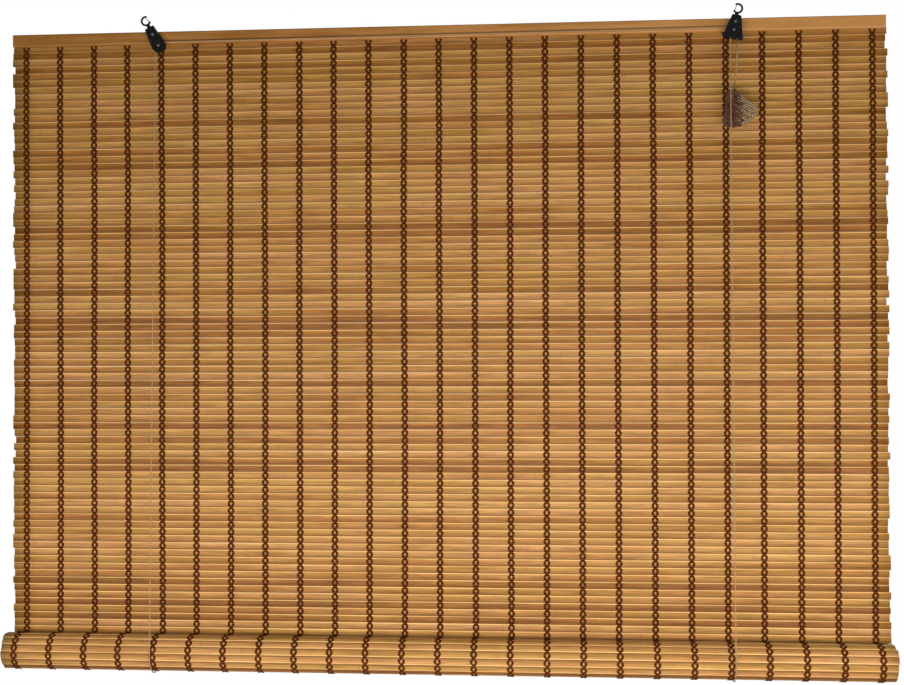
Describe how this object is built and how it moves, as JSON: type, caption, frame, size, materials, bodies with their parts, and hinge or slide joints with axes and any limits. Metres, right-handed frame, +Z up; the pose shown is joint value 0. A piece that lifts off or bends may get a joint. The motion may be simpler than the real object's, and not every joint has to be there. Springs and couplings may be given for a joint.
{
  "type": "bamboo roller blind",
  "caption": "Bamboo slat blind bound with dark cords, rolled up from below by two cord slings over pulleys on a wooden head rail.",
  "frame": {"origin": "middle of the head rail's top edge at its back face, on the line it hangs from", "axes": "+X along the rail to the right as seen from the room, +Y away from the room, +Z up"},
  "size_m": [1.202, 0.0586, 0.906],
  "materials": {
    "bamboo": "golden-brown varnished bamboo slats",
    "rail_wood": "smooth tan wood",
    "batten_wood": "plain sawn wood",
    "binding": "dark red-brown twisted cord",
    "lift_cord": "pale beige twisted cord",
    "draw_cord": "two-tone beige and brown cord",
    "black_enamel": "glossy black enamel",
    "bright_steel": "bright nickelled steel",
    "staple_steel": "plain wire",
    "sheave_plastic": "dark moulded plastic",
    "cam_plastic": "black moulded plastic"
  },
  "bodies": {
    "rail": {"head_rail": "rail_wood", "hanging_mat": "bamboo", "binding_cords_front": "binding", "binding_cords_back": "binding", "mat_staples": "staple_steel", "anchor_eyes": "staple_steel", "anchor_knots": "lift_cord", "left_fixing_screw": "bright_steel", "right_fixing_screw": "bright_steel", "cross_cord": "lift_cord", "left_front_run": "lift_cord", "left_back_run": "lift_cord", "right_front_run": "lift_cord", "right_back_run": "lift_cord"},
    "lift": {"left_sling": "lift_cord", "right_sling": "lift_cord"},
    "roll": {"rolled_mat": "bamboo", "bottom_batten": "batten_wood", "roll_binding_cords": "binding"},
    "left_pulley": {"left_housing": "black_enamel", "left_spacer": "bright_steel", "left_axle": "bright_steel", "left_over_cord": "lift_cord"},
    "left_wheel": {"left_sheave": "sheave_plastic"},
    "left_snap": {"left_hook": "black_enamel"},
    "left_gate": {"left_tongue": "black_enamel"},
    "right_pulley": {"right_housing": "black_enamel", "right_spacer": "bright_steel", "right_axle": "bright_steel", "right_back_over_cord": "lift_cord", "right_front_over_cord": "lift_cord", "lock_post": "black_enamel", "lock_pin": "black_enamel", "draw_cord_a": "draw_cord", "draw_cord_b": "draw_cord", "cord_hank": "draw_cord"},
    "right_back_wheel": {"right_back_sheave": "sheave_plastic"},
    "right_front_wheel": {"right_front_sheave": "sheave_plastic"},
    "right_snap": {"right_hook": "black_enamel"},
    "right_gate": {"right_tongue": "black_enamel"},
    "cam": {"lock_cam": "cam_plastic"}
  },
  "joints": [
    {"name": "roll_lift", "type": "slide", "parent": "rail", "child": "lift", "axis": [0, 0, 1], "range_m": [0, 0.66], "deforming": ["hanging_mat", "binding_cords_front", "binding_cords_back", "left_front_run", "left_back_run", "right_front_run", "right_back_run"]},
    {"name": "roll_turn", "type": "hinge", "parent": "lift", "child": "roll", "pos_m": [0, -0.0234, -0.8566], "axis": [1, 0, 0], "range_deg": [-1442, 2]},
    {"name": "left_swing", "type": "hinge", "parent": "rail", "child": "left_pulley", "pos_m": [-0.39598, -0.0138, -0.00549], "axis": [0, 1, 0], "range_deg": [-20, 20], "deforming": ["cross_cord"]},
    {"name": "right_swing", "type": "hinge", "parent": "rail", "child": "right_pulley", "pos_m": [0.39954, -0.016, -0.0075], "axis": [0, 1, 0], "range_deg": [-20, 20]},
    {"name": "left_sheave_spin", "type": "hinge", "parent": "left_pulley", "child": "left_wheel", "pos_m": [-0.388, -0.0138, -0.0205], "axis": [0, 1, 0], "continuous": true},
    {"name": "right_back_sheave_spin", "type": "hinge", "parent": "right_pulley", "child": "right_back_wheel", "pos_m": [0.3975, -0.0138, -0.018], "axis": [0, 1, 0], "continuous": true},
    {"name": "right_front_sheave_spin", "type": "hinge", "parent": "right_pulley", "child": "right_front_wheel", "pos_m": [0.3975, -0.0182, -0.018], "axis": [0, 1, 0], "continuous": true},
    {"name": "left_hook_swivel", "type": "hinge", "parent": "left_pulley", "child": "left_snap", "pos_m": [-0.40115, -0.0138, 0.00422], "axis": [-0.4695, 0, 0.8829], "continuous": true},
    {"name": "right_hook_swivel", "type": "hinge", "parent": "right_pulley", "child": "right_snap", "pos_m": [0.40132, -0.016, 0.00163], "axis": [0.1908, 0, 0.9816], "continuous": true},
    {"name": "left_tongue_hinge", "type": "hinge", "parent": "left_snap", "child": "left_gate", "pos_m": [-0.40076, -0.0138, 0.01224], "axis": [0, -1, 0], "range_deg": [0, 25], "stiffness_Nm_per_rad": 0.0004, "springref_deg": -11.46},
    {"name": "right_tongue_hinge", "type": "hinge", "parent": "right_snap", "child": "right_gate", "pos_m": [0.39836, -0.016, 0.00791], "axis": [0, 1, 0], "range_deg": [0, 25], "stiffness_Nm_per_rad": 0.0004, "springref_deg": -11.46},
    {"name": "lock_cam_turn", "type": "hinge", "parent": "right_pulley", "child": "cam", "pos_m": [0.406, -0.016, -0.0245], "axis": [0, -1, 0], "range_deg": [0, 35]}
  ],
  "couplings": [
    {"joint": "roll_turn", "follows": "roll_lift", "rad_per_m": -38.08}
  ]
}
